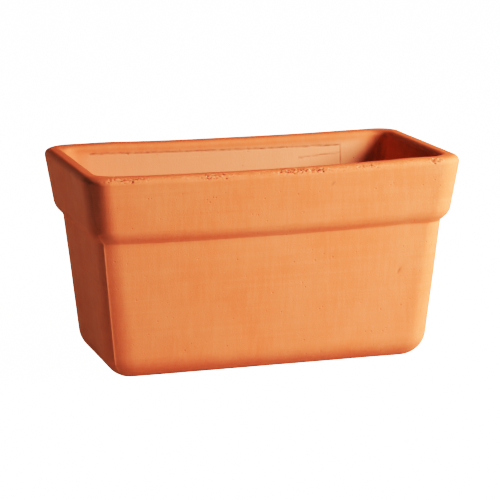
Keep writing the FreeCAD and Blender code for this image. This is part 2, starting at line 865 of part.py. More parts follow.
def make_gauge_guide():
    """The bush in the top of the guide tube that keeps the rod upright."""
    body = new_body("gauge_guide", gauge_spot(f"{GUIDE_TUBE_TOP} - dims.guide_height"))
    ring = new_sketch(body, "ring")
    draw_circle(ring, "0", "0", "dims.guide_tube_bore - dims.thread_clearance")
    draw_circle(ring, "0", "0", "dims.rod_radius + dims.guide_clearance")
    pad(body, "bush", ring, "dims.guide_height")


def make_gauge_retainer():
    """The ring above the platform that holds the gauge up against it."""
    body = new_body("gauge_retainer", gauge_spot(PLATFORM_TOP))
    ring = new_sketch(body, "ring")
    draw_circle(ring, "0", "0", "dims.retainer_radius")
    draw_circle(ring, "0", "0", "dims.guide_tube_radius + dims.thread_clearance")
    collar = pad(body, "collar", ring, "dims.retainer_height")
    fillet(body, "soft_edge", collar, "dims.float_fillet", outer_top_edge("dims.retainer_height"))


def outer_top_edge(level):
    """A test for the widest round edge at a height given by an expression."""
    at_level = lies_at(level)

    def holds(edge):
        return at_level(edge) and edge.BoundBox.XLength > 2 * size("dims.guide_tube_radius") + 2

    return holds


def make_gauge_float():
    """The hollow-moulded puck that rides on the water."""
    body = new_body("gauge_float", gauge_spot(FLOAT_FOOT))
    circle = new_sketch(body, "circle")
    draw_circle(circle, "0", "0", "dims.float_radius")
    puck = pad(body, "puck", circle, "dims.float_height")
    fillet(body, "soft_edges", puck, "dims.float_fillet", is_round)


def make_gauge_rod():
    """The rod that stands on the float and runs up through the guide."""
    foot = f"{FLOAT_FOOT} + dims.float_height"
    body = new_body("gauge_rod", gauge_spot(foot))
    circle = new_sketch(body, "circle")
    draw_circle(circle, "0", "0", "dims.rod_radius")
    pad(body, "rod", circle, f"({GUIDE_TUBE_TOP}) + 1 - ({foot})")


def make_gauge_tip():
    """The bright tip on the rod, seen through the sight cap."""
    body = new_body("gauge_tip", gauge_spot(f"{GUIDE_TUBE_TOP} + 1"))
    circle = new_sketch(body, "circle")
    draw_circle(circle, "0", "0", "dims.tip_radius")
    head = pad(body, "head", circle, "dims.tip_height")
    fillet(body, "soft_edges", head, "dims.tip_radius / 4", is_round)


def make_gauge_sight_cap():
    """The clear cap over the guide tube, tall enough for the tip at full water."""
    body = new_body("gauge_sight_cap", gauge_spot(f"{GUIDE_TUBE_TOP} - dims.sight_lap"))
    inside = "dims.guide_tube_radius + dims.thread_clearance"
    outside = f"{inside} + dims.sight_wall"
    height = "dims.sight_lap + dims.sight_head"
    revolve(
        body,
        (
            (inside, "0"),
            (outside, "0"),
            (outside, f"{height} - dims.sight_wall"),
            (f"{outside} - dims.sight_wall", height),
            ("0", height),
            ("0", f"{height} - dims.sight_wall"),
            (f"{inside} - dims.sight_wall", f"{height} - dims.sight_wall"),
            (inside, f"{height} - 2 * dims.sight_wall"),
        ),
    )


def check_document():
    """Stops if any object failed or any sub-part's shape is unfit."""
    doc.recompute()
    for item in doc.Objects:
        if "Invalid" in item.State or "Error" in item.State:
            raise RuntimeError(f"{item.Label} failed: {item.State}")
    for node in nodes:
        if node.Shape.isNull() or not node.Shape.isValid():
            raise RuntimeError(f"{node.Label} has no valid shape")


def write_parts():
    """Writes each sub-part's shape to its own STEP file."""
    os.makedirs("parts", exist_ok=True)
    for node in nodes:
        node.Shape.exportStep(f"parts/{node.Label}.step")
        extent = node.Shape.BoundBox
        print(
            f"{node.Label:28s} {node.Shape.Volume / 1000:9.2f} cm3  solids {len(node.Shape.Solids)}  "
            f"z {extent.ZMin:7.2f} to {extent.ZMax:7.2f}"
        )


make_terracotta_trough()
make_reservoir_tray()
make_overflow_pipe()
make_overflow_gasket()
make_overflow_nut()
make_soil_platform()
make_platform_legs()
make_wick_cups()
make_fill_tube()
make_fill_collar()
make_fill_cap()
make_fill_hinge_pin()
make_gauge_well()
make_gauge_guide()
make_gauge_retainer()
make_gauge_float()
make_gauge_rod()
make_gauge_tip()
make_gauge_sight_cap()
check_document()
write_parts()
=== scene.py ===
"""Looks of a pressed terracotta trough with a drop-in self-watering insert.

The clay shell is built here as one dense mesh: rolled foot, parting ridges on two corners, bevelled collar,
round rim with torn pores, and mould lines on the inside. The insert's pieces get soft moulded edges, and
every piece gets a finish made of shader nodes. All lengths are in metres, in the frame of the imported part.
"""

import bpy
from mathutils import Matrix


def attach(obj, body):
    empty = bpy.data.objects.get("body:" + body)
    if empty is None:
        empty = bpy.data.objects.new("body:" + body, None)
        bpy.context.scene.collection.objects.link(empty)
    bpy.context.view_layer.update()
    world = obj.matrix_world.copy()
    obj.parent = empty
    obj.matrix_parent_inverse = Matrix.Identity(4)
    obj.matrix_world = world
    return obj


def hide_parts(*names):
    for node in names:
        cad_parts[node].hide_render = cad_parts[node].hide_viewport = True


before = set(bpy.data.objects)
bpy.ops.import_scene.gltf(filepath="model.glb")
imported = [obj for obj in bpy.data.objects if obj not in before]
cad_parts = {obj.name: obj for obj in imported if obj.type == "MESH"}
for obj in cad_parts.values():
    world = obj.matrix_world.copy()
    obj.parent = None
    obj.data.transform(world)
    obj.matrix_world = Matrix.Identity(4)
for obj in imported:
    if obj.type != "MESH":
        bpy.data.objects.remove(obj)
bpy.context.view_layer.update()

import logging
import math
import random
from dataclasses import dataclass, field
from enum import Enum
from typing import Callable, Sequence

import bmesh
import bpy
from mathutils import Matrix, Vector, kdtree, noise

LOG = logging.getLogger("trough")
LAMP_TARGET = Vector((0.0, 0.0, 0.08))

Colour = tuple[float, float, float]
Socket = bpy.types.NodeSocket
Feed = Socket | float | Sequence[float]
Pore = tuple[Vector, float, float]


# ---------------------------------------------------------------- node building


class Bench:
    """Adds nodes to one node tree and wires them together."""

    def __init__(self, tree: bpy.types.NodeTree) -> None:
        """Takes the tree to work in."""
        self.tree = tree

    def add(self, kind: str, inputs: dict | None = None, **settings) -> bpy.types.Node:
        """Adds one shader node.

        Args:
            kind: The node's type without its ShaderNode prefix.
            inputs: Values or sockets for its inputs, by name or index.
            settings: Properties of the node itself.

        Returns:
            The new node.
        """
        node = self.tree.nodes.new(f"ShaderNode{kind}")
        for name, value in settings.items():
            setattr(node, name, value)
        for key, value in (inputs or {}).items():
            self.feed(node.inputs[key], value)
        return node

    def feed(self, socket: Socket, value: Feed) -> None:
        """Gives a socket a link or a constant."""
        if isinstance(value, bpy.types.NodeSocket):
            self.tree.links.new(value, socket)
        elif isinstance(value, tuple) and len(value) == 3 and socket.type == "RGBA":
            socket.default_value = (*value, 1.0)
        else:
            socket.default_value = value

    def math(self, operation: str, first: Feed, second: Feed = 0.0, clamp: bool = False) -> Socket:
        """The result of one Math node."""
        node = self.add("Math", {0: first, 1: second}, operation=operation, use_clamp=clamp)
        return node.outputs[0]

    def remap(
        self, value: Feed, low: float, high: float, to_low: float = 0.0, to_high: float = 1.0
    ) -> Socket:
        """Maps low..high smoothly onto to_low..to_high, and holds it there."""
        node = self.add(
            "MapRange", {0: value, 1: low, 2: high, 3: to_low, 4: to_high}, interpolation_type="SMOOTHSTEP"
        )
        return node.outputs[0]

    def mix(self, factor: Feed, first: Feed, second: Feed, blend: str = "MIX") -> Socket:
        """A colour mixed from two."""
        node = self.add("Mix", {0: factor, 6: first, 7: second}, data_type="RGBA", blend_type=blend)
        return node.outputs[2]

    def noise(
        self, coords: Socket, scale: float, detail: float = 2.0, rough: float = 0.5, twist: float = 0.0
    ) -> Socket:
        """The value of a Noise Texture."""
        inputs = {"Vector": coords, "Scale": scale, "Detail": detail, "Roughness": rough, "Distortion": twist}
        return self.add("TexNoise", inputs).outputs["Fac"]

    def cells(self, coords: Socket, scale: Feed, feature: str = "F1") -> bpy.types.Node:
        """A Voronoi Texture node."""
        return self.add("TexVoronoi", {"Vector": coords, "Scale": scale}, feature=feature)

    def stretched(self, coords: Socket, scale: tuple[float, float, float]) -> Socket:
        """Coordinates stretched by a Mapping node."""
        return self.add("Mapping", {"Vector": coords, "Scale": scale}).outputs[0]


class Effect(Enum):
    """The shared shader groups."""

    CLAY_BODY = "clay_body"
    PORES = "pores"
    MOULD_GRAIN = "mould_grain"
    DUST = "dust"


class Shelf:
    """Builds each shared shader group once and keeps it."""

    def __init__(self) -> None:
        """Starts with no groups built."""
        self.groups: dict[Effect, bpy.types.NodeTree] = {}

    def get(self, effect: Effect) -> bpy.types.NodeTree:
        """The group for an effect, built on first use."""
        if effect not in self.groups:
            self.groups[effect] = getattr(self, f"_{effect.value}")()
        return self.groups[effect]

    def place(self, bench: Bench, effect: Effect, inputs: dict) -> bpy.types.Node:
        """Puts a group into a material.

        Args:
            bench: The material's node bench.
            effect: Which group.
            inputs: Its input values or sockets by name.

        Returns:
            The group node.
        """
        node = bench.tree.nodes.new("ShaderNodeGroup")
        node.node_tree = self.get(effect)
        for name, value in inputs.items():
            bench.feed(node.inputs[name], value)
        return node

    @staticmethod
    def _start(name: str, inputs: Sequence[tuple[str, str]], outputs: Sequence[str]) -> tuple:
        """Makes an empty group with its sockets and its two end nodes."""
        tree = bpy.data.node_groups.new(name, "ShaderNodeTree")
        for label, kind in inputs:
            tree.interface.new_socket(label, in_out="INPUT", socket_type=kind)
        for label in outputs:
            tree.interface.new_socket(label, in_out="OUTPUT", socket_type="NodeSocketFloat")
        bench = Bench(tree)
        return bench, tree.nodes.new("NodeGroupInput").outputs, tree.nodes.new("NodeGroupOutput").inputs

    def _clay_body(self) -> bpy.types.NodeTree:
        """Kiln blotches, drag streaks and grain of fired clay, each as a mask around 0.5."""
        bench, given, out = self._start(
            "clay_body", (("Coords", "NodeSocketVector"),), ("Blotch", "Cloud", "Streak", "Grain")
        )
        coords = given["Coords"]
        bench.feed(out["Blotch"], bench.noise(coords, 17.0, 3.0, 0.5, 0.6))
        bench.feed(out["Cloud"], bench.noise(coords, 70.0, 4.0, 0.55, 0.3))
        upright = bench.noise(bench.stretched(coords, (330.0, 330.0, 9.0)), 1.0, 3.0, 0.55)
        level = bench.noise(bench.stretched(coords, (7.0, 7.0, 420.0)), 1.0, 2.0, 0.5)
        upright_part, level_part = bench.math("MULTIPLY", upright, 0.6), bench.math("MULTIPLY", level, 0.4)
        bench.feed(out["Streak"], bench.math("ADD", upright_part, level_part))
        bench.feed(out["Grain"], bench.noise(coords, 1100.0, 3.0, 0.65))
        return bench.tree

    def _pores(self) -> bpy.types.NodeTree:
        """Scattered round pores: a mask that is 1 inside them."""
        bench, given, out = self._start(
            "pores",
            (("Coords", "NodeSocketVector"), ("Scale", "NodeSocketFloat"), ("Share", "NodeSocketFloat")),
            ("Mask",),
        )
        cell = bench.cells(given["Coords"], given["Scale"])
        chance = bench.add("SeparateColor", {0: cell.outputs["Color"]})
        reach = bench.math("MULTIPLY", chance.outputs[1], 0.34)
        inside = bench.math("SUBTRACT", reach, cell.outputs["Distance"])
        round_mask = bench.remap(inside, -0.05, 0.12)
        picked = bench.math("LESS_THAN", chance.outputs[0], given["Share"])
        bench.feed(out["Mask"], bench.math("MULTIPLY", round_mask, picked))
        return bench.tree

    def _mould_grain(self) -> bpy.types.NodeTree:
        """The fine etched grain of moulded plastic, with faint flow lines."""
        bench, given, out = self._start(
            "mould_grain", (("Coords", "NodeSocketVector"), ("Scale", "NodeSocketFloat")), ("Height", "Flow")
        )
        coords = given["Coords"]
        texture = {"Vector": coords, "Scale": given["Scale"], "Detail": 3.0, "Roughness": 0.6}
        etched = bench.add("TexNoise", texture)
        bench.feed(out["Height"], etched.outputs["Fac"])
        bench.feed(out["Flow"], bench.noise(bench.stretched(coords, (30.0, 30.0, 12.0)), 1.0, 4.0, 0.55, 1.2))
        return bench.tree

    def _dust(self) -> bpy.types.NodeTree:
        """Dust that settles on faces that look up: a mask from 0 to 1."""
        inputs = (("Coords", "NodeSocketVector"), ("Amount", "NodeSocketFloat"))
        bench, given, out = self._start("dust", inputs, ("Mask",))
        normal = bench.add("NewGeometry").outputs["Normal"]
        upwards = bench.remap(bench.add("SeparateXYZ", {0: normal}).outputs[2], 0.2, 1.0)
        patches = bench.remap(bench.noise(given["Coords"], 120.0, 5.0, 0.65), 0.35, 0.75)
        lying = bench.math("MULTIPLY", upwards, patches)
        bench.feed(out["Mask"], bench.math("MULTIPLY", lying, given["Amount"]))
        return bench.tree


SHELF = Shelf()


def new_material(name: str) -> tuple[bpy.types.Material, Bench, bpy.types.Node, Socket]:
    """Starts a material.

    Args:
        name: The material's name.

    Returns:
        The material, its bench, its Principled node and its object coordinates.
    """
    material = bpy.data.materials.new(name)
    material.use_nodes = True
    material.node_tree.nodes.clear()
    bench = Bench(material.node_tree)
    shader = bench.add("BsdfPrincipled")
    end = bench.add("OutputMaterial")
    bench.feed(end.inputs["Surface"], shader.outputs[0])
    return material, bench, shader, bench.add("TexCoord").outputs["Object"]


# ---------------------------------------------------------------- finishes


@dataclass(frozen=True)
class FiredClay:
    """Unglazed pressed terracotta."""

    body: Colour = (0.87, 0.208, 0.086)
    pale: Colour = (0.93, 0.325, 0.165)
    # Pale flecks and grains of the clay, and painted light inside the cavity and along the parting arris.
    pale_and_painted_light: Colour = (0.95, 0.395, 0.215)
    deep: Colour = (0.76, 0.156, 0.056)
    # Painted shade in the pores, the pits and the mould lines, and on the rim's inner edge.
    shade_brown: Colour = (0.25, 0.062, 0.030)
    grain_height: float = 0.00022

    def build(self) -> bpy.types.Material:
        """Makes the material, which reads the marks, painted shade and painted light that the shell's mesh
        carries.
        """
        material, bench, shader, coords = new_material("fired_clay")
        clay = SHELF.place(bench, Effect.CLAY_BODY, {"Coords": coords}).outputs
        coarse, fine = {"Scale": 420.0, "Share": 0.07}, {"Scale": 610.0, "Share": 0.05}
        pores = SHELF.place(bench, Effect.PORES, {"Coords": coords} | coarse).outputs[0]
        specks = SHELF.place(bench, Effect.PORES, {"Coords": coords} | fine).outputs[0]
        # The shell's painted shade: in the pores and mould lines and on the rim's inner edge.
        painted_shade = bench.add("Attribute", attribute_name="painted_shade").outputs["Fac"]
        # Pale grains in the mould lines, and a painted highlight along the parting arris.
        pale = bench.add("Attribute", attribute_name="pale").outputs["Fac"]
        # Painted light: the inside of the cavity is made paler.
        inside = bench.add("Attribute", attribute_name="inside").outputs["Fac"]
        crown_shade = bench.add("Attribute", attribute_name="crown_shade").outputs["Fac"]
        torn = bench.add("Attribute", attribute_name="torn").outputs["Fac"]
        tone = bench.mix(bench.remap(clay["Blotch"], 0.34, 0.76, 0.0, 0.26), self.body, self.pale)
        tone = bench.mix(bench.remap(clay["Cloud"], 0.44, 0.80, 0.0, 0.16), tone, self.deep)
        tone = bench.mix(bench.remap(clay["Streak"], 0.42, 0.66, 0.0, 0.18), tone, self.pale)
        tone = bench.mix(bench.remap(clay["Grain"], 0.46, 0.70, 0.0, 0.22), tone, self.deep)
        # Painted shade: the rim's crown, where it looks up, is darkened towards the deep red.
        tone = bench.mix(bench.math("MULTIPLY", crown_shade, 0.80, clamp=True), tone, self.deep)
        # Painted light: the inside of the cavity is made paler, away from its ends.
        tone = bench.mix(bench.math("MULTIPLY", inside, 0.62, clamp=True), tone, self.pale_and_painted_light)
        tone = bench.mix(bench.math("MULTIPLY", specks, 0.35), tone, self.pale)
        # Painted shade: the pores are darkened towards the deep red.
        tone = bench.mix(bench.math("MULTIPLY", pores, 0.55), tone, self.deep)
        pits = bench.remap(bench.noise(coords, 640.0, 2.0), 0.53, 0.60)
        shift = bench.add("VectorMath", {0: coords, 1: (0.37, 0.11, 0.23)}, operation="ADD").outputs[0]
        flecks = bench.remap(bench.noise(shift, 560.0, 2.0), 0.55, 0.63)
        pits = bench.math("MULTIPLY", pits, torn, clamp=True)
        flecks = bench.math("MULTIPLY", flecks, torn, clamp=True)
        # Painted shade in the pits of the torn rim; the paler flecks are the clay's own.
        tone = bench.mix(bench.math("MULTIPLY", pits, 0.42), tone, self.shade_brown)
        tone = bench.mix(bench.math("MULTIPLY", flecks, 0.55), tone, self.pale_and_painted_light)
        # Pale grains of the clay, and a painted highlight along the parting arris.
        tone = bench.mix(bench.math("MULTIPLY", pale, 0.35, clamp=True), tone, self.pale_and_painted_light)
        # Painted shade in the pores and mould lines and on the rim's inner edge.
        tone = bench.mix(bench.math("MULTIPLY", painted_shade, 0.85, clamp=True), tone, self.shade_brown)
        bench.feed(shader.inputs["Base Color"], tone)
        bench.feed(shader.inputs["Roughness"], bench.remap(clay["Cloud"], 0.3, 0.7, 0.78, 0.92))
        shader.inputs["Specular IOR Level"].default_value = 0.18
        relief = bench.math("SUBTRACT", clay["Grain"], bench.math("MULTIPLY", pores, 1.6))
        relief = bench.math("ADD", relief, bench.math("MULTIPLY", clay["Streak"], 0.9))
        relief = bench.math("SUBTRACT", relief, bench.math("MULTIPLY", pits, 2.2))
        bump = bench.add("Bump", {"Height": relief, "Strength": 0.55, "Distance": self.grain_height})
        bench.feed(shader.inputs["Normal"], bump.outputs[0])
        return material


@dataclass(frozen=True)
class MouldedPlastic:
    """Injection-moulded plastic with an etched grain, flow marks and a little settled dust."""

    name: str
    colour: Colour
    scuff: Colour
    roughness: float = 0.45
    grain: float = 1500.0
    grain_height: float = 0.00006
    dust: float = 0.25

    def build(self) -> bpy.types.Material:
        """Makes the material."""
        material, bench, shader, coords = new_material(self.name)
        mould = SHELF.place(bench, Effect.MOULD_GRAIN, {"Coords": coords, "Scale": self.grain}).outputs
        dust = SHELF.place(bench, Effect.DUST, {"Coords": coords, "Amount": self.dust}).outputs[0]
        tone = bench.mix(bench.remap(mould["Flow"], 0.35, 0.70, 0.0, 0.5), self.colour, self.scuff)
        tone = bench.mix(dust, tone, (0.30, 0.22, 0.16))
        bench.feed(shader.inputs["Base Color"], tone)
        sheen = bench.remap(mould["Flow"], 0.3, 0.7, self.roughness - 0.06, self.roughness + 0.08)
        dulled = bench.math("ADD", sheen, bench.math("MULTIPLY", dust, 0.5), clamp=True)
        bench.feed(shader.inputs["Roughness"], dulled)
        bump = bench.add("Bump", {"Height": mould["Height"], "Strength": 0.5, "Distance": self.grain_height})
        bench.feed(shader.inputs["Normal"], bump.outputs[0])
        return material


@dataclass(frozen=True)
class ClearPlastic:
    """Polished clear plastic of the sight cap, faintly hazed."""

    def build(self) -> bpy.types.Material:
        """Makes the material."""
        material, bench, shader, coords = new_material("clear_plastic")
        haze = bench.noise(coords, 90.0, 4.0, 0.6)
        bench.feed(shader.inputs["Roughness"], bench.remap(haze, 0.35, 0.75, 0.03, 0.16))
        hazed = bench.remap(haze, 0.4, 0.8, 0.0, 0.5)
        bench.feed(shader.inputs["Base Color"], bench.mix(hazed, (0.93, 0.96, 0.96), (0.84, 0.88, 0.87)))
        shader.inputs["Transmission Weight"].default_value = 0.92
        shader.inputs["IOR"].default_value = 1.47
        return material


@dataclass(frozen=True)
class TurnedSteel:
    """The hinge pin: drawn steel with fine rings round it."""

    def build(self) -> bpy.types.Material:
        """Makes the material."""
        material, bench, shader, coords = new_material("turned_steel")
        rings = bench.noise(bench.stretched(coords, (5200.0, 60.0, 60.0)), 1.0, 2.0, 0.6)
        drawn = bench.remap(rings, 0.3, 0.7)
        bench.feed(shader.inputs["Base Color"], bench.mix(drawn, (0.46, 0.46, 0.45), (0.66, 0.66, 0.64)))
        bench.feed(shader.inputs["Roughness"], bench.remap(rings, 0.3, 0.7, 0.22, 0.40))
        shader.inputs["Metallic"].default_value = 1.0
        bump = bench.add("Bump", {"Height": rings, "Strength": 0.3, "Distance": 0.00003})
        bench.feed(shader.inputs["Normal"], bump.outputs[0])
        return material


# ---------------------------------------------------------------- mesh helpers


def finish_mesh(shape: bmesh.types.BMesh, name: str, material: bpy.types.Material) -> bpy.types.Object:
    """Turns a bmesh into a smooth-shaded object at the origin.

    Args:
        shape: The bmesh, which is freed.
        name: The object's name.
        material: Its material.

    Returns:
        The new object.
    """
    mesh = bpy.data.meshes.new(name)
    shape.to_mesh(mesh)
    shape.free()
    mesh.shade_smooth()
    mesh.materials.append(material)
    piece = bpy.data.objects.new(name, mesh)
    bpy.context.scene.collection.objects.link(piece)
    return piece


# ---------------------------------------------------------------- clay trough


@dataclass(frozen=True)
class Outline:
    """One level outline of the trough.

    Attributes:
        half_length: Half its length.
        half_width: Half its width.
        corner: Radius of its corners.
        level: Its height.
        arris: How far the two parting corners are drawn out, from round at 0 to a full arris at 1.
    """

    half_length: float
    half_width: float
    corner: float
    level: float
    arris: float = 0.0


@dataclass(frozen=True)
class Station:
    """A place round an outline.

    Attributes:
        along: Where its corner's centre is on X, from -1 at one end to 1 at the other.
        across: The same on Y.
        turned: Its offset from there on a round corner of radius 1.
        parted: Its offset on a corner with a full parting arris.
    """

    along: float
    across: float
    turned: Vector
    parted: Vector

    def on(self, outline: Outline) -> Vector:
        """Its point on an outline."""
        offset = self.turned.lerp(self.parted, outline.arris) * outline.corner
        return Vector(
            (
                self.along * (outline.half_length - outline.corner) + offset.x,
                self.across * (outline.half_width - outline.corner) + offset.y,
                outline.level,
            )
        )


@dataclass(frozen=True)
class Bend:
    """A corner of the trough's upright section, rounded by a circle.

    Attributes:
        at: The outline where the two straight legs would meet.
        reach: Tangent length of the rounding, along each leg.
        steps: Rows round the bend.
        run: Rows on the straight leg that follows.
    """

    at: Outline
    reach: float
    steps: int
    run: int


def between(first: Outline, second: Outline, share: float) -> Outline:
    """The outline a share of the way from one to another."""
    keep = 1.0 - share
    return Outline(
        first.half_length * keep + second.half_length * share,
        first.half_width * keep + second.half_width * share,
        first.corner * keep + second.corner * share,
        first.level * keep + second.level * share,
        first.arris * keep + second.arris * share,
    )


def leg_of(first: Outline, second: Outline) -> Vector:
    """The leg between two outlines, as seen on the trough's long section."""
    return Vector((second.half_length - first.half_length, second.level - first.level))


def round_bend(before: Outline, bend: Bend, after: Outline) -> list[Outline]:
    """The outlines round a bend, on a circle that touches both legs.

    Args:
        before: An outline on the leg that arrives.
        bend: The bend.
        after: An outline on the leg that leaves.

    Returns:
        The rows from one tangent point to the other.
    """
    arriving, leaving = leg_of(before, bend.at), leg_of(bend.at, after)
    start = between(bend.at, before, bend.reach / arriving.length)
    end = between(bend.at, after, bend.reach / leaving.length)
    weight = math.cos(arriving.angle(leaving) / 2)
    rows = []
    for step in range(bend.steps + 1):
        share = step / bend.steps
        first, middle, last = (1 - share) ** 2, 2 * weight * share * (1 - share), share**2
        total = first + middle + last
        half_way = between(start, end, last / (first + last))
        rows.append(between(half_way, bend.at, middle / total))
    return rows


@dataclass(frozen=True)
class Cluster:
    """A run of torn pores on the rim: where it is, how far it spreads, how many, and how deep."""

    centre: float
    spread: float
    count: int
    depth: float = 0.0005


@dataclass(frozen=True)
class MouldLine:
    """A line that the mould left on the inside of the back wall, between two places along X and up Z."""

    start: tuple[float, float]
    end: tuple[float, float]
    depth: float
    half_width: float = 0.0006


@dataclass(frozen=True)
class Sag:
    """A long wall that sank a little: its side (-1 front, 1 back), middle, half length and depth."""

    side: int
    centre: float
    half_length: float
    depth: float

    def at(self, place: Vector, height: float) -> float:
        """How far a point sinks, growing from the foot up to the collar."""
        share = (place.x - self.centre) / self.half_length
        across = min(1.0, max(0.0, 0.5 + self.side * place.y / 0.10))
        rise = min(1.0, max(0.0, place.z / height - 0.1) / 0.6)
        return self.depth * max(0.0, 1.0 - share * share) ** 0.8 * across * rise


@dataclass
class ClayTrough:
    """The fired clay shell."""

    length: float = 0.300
    width: float = 0.172
    height: float = 0.163
    collar_height: float = 0.046
    bevel_height: float = 0.0065
    collar_draft: float = 0.006
    collar_step: float = 0.0059
    end_draft: float = 0.0093
    side_draft: float = 0.0115
    rim_corner: float = 0.020
    crease_corner: float = 0.017
    foot_corner: float = 0.021
    foot_fillet: float = 0.020
    rim_wall: float = 0.014
    rim_fillet: float = 0.0055
    rim_allowance: float = 0.00076
    floor: float = 0.013
    cavity_draft: float = 0.018
    cavity_corner: float = 0.014
    cavity_fillet: float = 0.006
    drains: tuple[tuple[float, float], ...] = ((0.0, 0.013), (0.085, 0.010), (-0.085, 0.010))
    shrink: float = 0.00035
    side_columns: int = 116
    end_columns: int = 40
    corner_degrees: float = 5.0
    ridge_angle: float = 40.0
    arris_at: tuple[float, float] = (0.79, 0.87)
    bead: float = 0.012
    sags: tuple[Sag, ...] = (Sag(-1, -0.020, 0.125, 0.0021), Sag(1, 0.035, 0.125, 0.0017))
    seed: int = 11
    finish: FiredClay = field(default_factory=FiredClay)
    clusters: tuple[Cluster, ...] = (
        Cluster(-0.119, 0.014, 26, 0.0007),
        Cluster(-0.052, 0.010, 20, 0.0008),
        Cluster(0.018, 0.019, 44, 0.0009),
        Cluster(0.069, 0.008, 10, 0.0007),
        Cluster(0.126, 0.005, 12, 0.0011),
        Cluster(0.0, 0.132, 70, 0.0003),
    )
    lines: tuple[MouldLine, ...] = (
        MouldLine((-0.1120, 0.1549), (-0.020, 0.1541), 0.00050),
        MouldLine((-0.020, 0.1541), (0.0985, 0.1527), 0.00055),
        MouldLine((0.062, 0.1441), (0.0985, 0.1462), 0.00035, 0.0004),
        MouldLine((0.0985, 0.1530), (0.0980, 0.1365), 0.00050, 0.0005),
    )
    grains: tuple[tuple[float, float], ...] = ((0.018, 0.1546), (0.072, 0.1537), (-0.067, 0.1551))

    # ------------------------------------------------------------ section

    def stations(self) -> list[Station]:
        """The stations round any outline, in order, each once."""
        steps = round(90 / self.corner_degrees)
        beside = (self.ridge_angle - 1.0, self.ridge_angle + 1.0)
        turns = sorted({self.corner_degrees * step for step in range(steps + 1)} | set(beside))
        quarters = ((1, 1), (-1, 1), (-1, -1), (1, -1))
        places: list[Station] = []
        for index, (along, across) in enumerate(quarters):
            parting = along * across > 0
            for turn in turns:
                angle = math.radians(90 * index + turn)
                turned = Vector((math.cos(angle), math.sin(angle)))
                parted = Vector((along, across)) * self.parting_corner(turn) if parting else turned
                places.append(Station(along, across, turned, parted))
            columns = self.side_columns if index % 2 == 0 else self.end_columns
            next_along, next_across = quarters[(index + 1) % 4]
            last = places[-1]
            for step in range(1, columns):
                share = step / columns
                place = (along + (next_along - along) * share, across + (next_across - across) * share)
                places.append(Station(*place, last.turned, last.turned))
        return places

    def parting_corner(self, turn: float) -> Vector:
        """A point of the drawn-out corner, which bulges to an arris where the halves of the mould met.

        Args:
            turn: Degrees round the corner from the end face.

        Returns:
            The point's offset for a corner of radius 1, in the quarter where X and Y are positive.
        """
        crest = Vector(self.arris_at)
        if turn <= self.ridge_angle:
            share, first, middle, last = turn / self.ridge_angle, Vector((1, 0)), Vector((1, 0.44)), crest
        else:
            share = (turn - self.ridge_angle) / (90 - self.ridge_angle)
            first, middle, last = crest, Vector((0.39, 1)), Vector((0, 1))
        point = first.lerp(middle, share).lerp(middle.lerp(last, share), share)
        bead = max(0.0, 1 - abs(turn - self.ridge_angle)) * self.bead
        return point * (1 + bead)

    def around(
        self, half_length: float, half_width: float, corner: float, level: float, arris: float = 0.0
    ) -> Outline:
        """An outline drawn in by the clay's shrinkage."""
        return Outline(half_length - self.shrink, half_width - self.shrink, corner, level, arris)

    def bends(self) -> list[Bend]:
        """The bends of the upright section, from the base's middle to the middle of the cavity's floor."""
        crease = self.height - self.collar_height - self.bevel_height
        crease_x = self.length / 2 - self.collar_draft - self.collar_step
        crease_y = self.width / 2 - self.collar_draft - self.collar_step
        foot_x, foot_y = crease_x - self.end_draft, crease_y - self.side_draft
        rim_x, rim_y = self.length / 2 + self.rim_allowance, self.width / 2 + self.rim_allowance
        mouth_x, mouth_y = self.length / 2 - self.rim_wall, self.width / 2 - self.rim_wall
        base_in = self.foot_fillet + 0.0006
        floor_in = self.cavity_fillet + 0.0020
        floor_x, floor_y = mouth_x - self.cavity_draft, mouth_y - self.cavity_draft
        top = self.height - self.shrink
        return [
            Bend(self.around(foot_x - base_in, foot_y - base_in, 0.0008, 0.0), 0.0, 0, 1),
            Bend(self.around(foot_x, foot_y, self.foot_corner, 0.0, 0.9), 0.92 * self.foot_fillet, 14, 28),
            Bend(self.around(crease_x, crease_y, self.crease_corner, crease, 1.0), 0.0008, 3, 2),
            Bend(
                self.around(
                    self.length / 2 - self.collar_draft,
                    self.width / 2 - self.collar_draft,
                    self.crease_corner + 0.002,
                    self.height - self.collar_height,
                    0.40,
                ),
                0.0044,
                8,
                15,
            ),
            Bend(self.around(rim_x, rim_y, self.rim_corner, top), 1.12 * self.rim_fillet, 14, 3),
            Bend(Outline(mouth_x, mouth_y, self.cavity_corner, top), 0.90 * self.rim_fillet, 12, 40),
            Bend(Outline(floor_x, floor_y, self.cavity_corner, self.floor), 0.88 * self.cavity_fillet, 6, 1),
            Bend(Outline(floor_x - floor_in, floor_y - floor_in, 0.005, self.floor), 0.0, 0, 0),
        ]

    def section(self) -> list[Outline]:
        """Every outline of the section, in order."""
        bends = self.bends()
        rows = [bends[0].at]
        for index in range(1, len(bends) - 1):
            rounded = round_bend(bends[index - 1].at, bends[index], bends[index + 1].at)
            run = bends[index - 1].run
            rows += [between(rows[-1], rounded[0], step / run) for step in range(1, run)]
            rows += rounded
        rows += [between(rows[-1], bends[-1].at, step / bends[-2].run) for step in range(1, bends[-2].run)]
        return rows + [bends[-1].at]

    # ------------------------------------------------------------ shell

    def build(self) -> bpy.types.Object:
        """Builds the whole shell and dresses it.

        Returns:
            The clay shell's object.
        """
        shape = bmesh.new()
        stations, rows = self.stations(), self.section()
        ring = self.first_ring(shape, stations, rows[0])
        base = list(ring)
        for row in rows[1:]:
            ring = self.next_ring(shape, ring, stations, row)
        self.close_with_drains(shape, base, ring)
        bmesh.ops.recalc_face_normals(shape, faces=shape.faces)
        self.refine(shape, self.on_front_rim, 3)
        self.refine(shape, self.near_mould_line, 3)
        self.work_surface(shape)
        piece = finish_mesh(shape, "clay_shell", self.finish.build())
        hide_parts("terracotta_trough")
        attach(piece, "trough")
        return piece

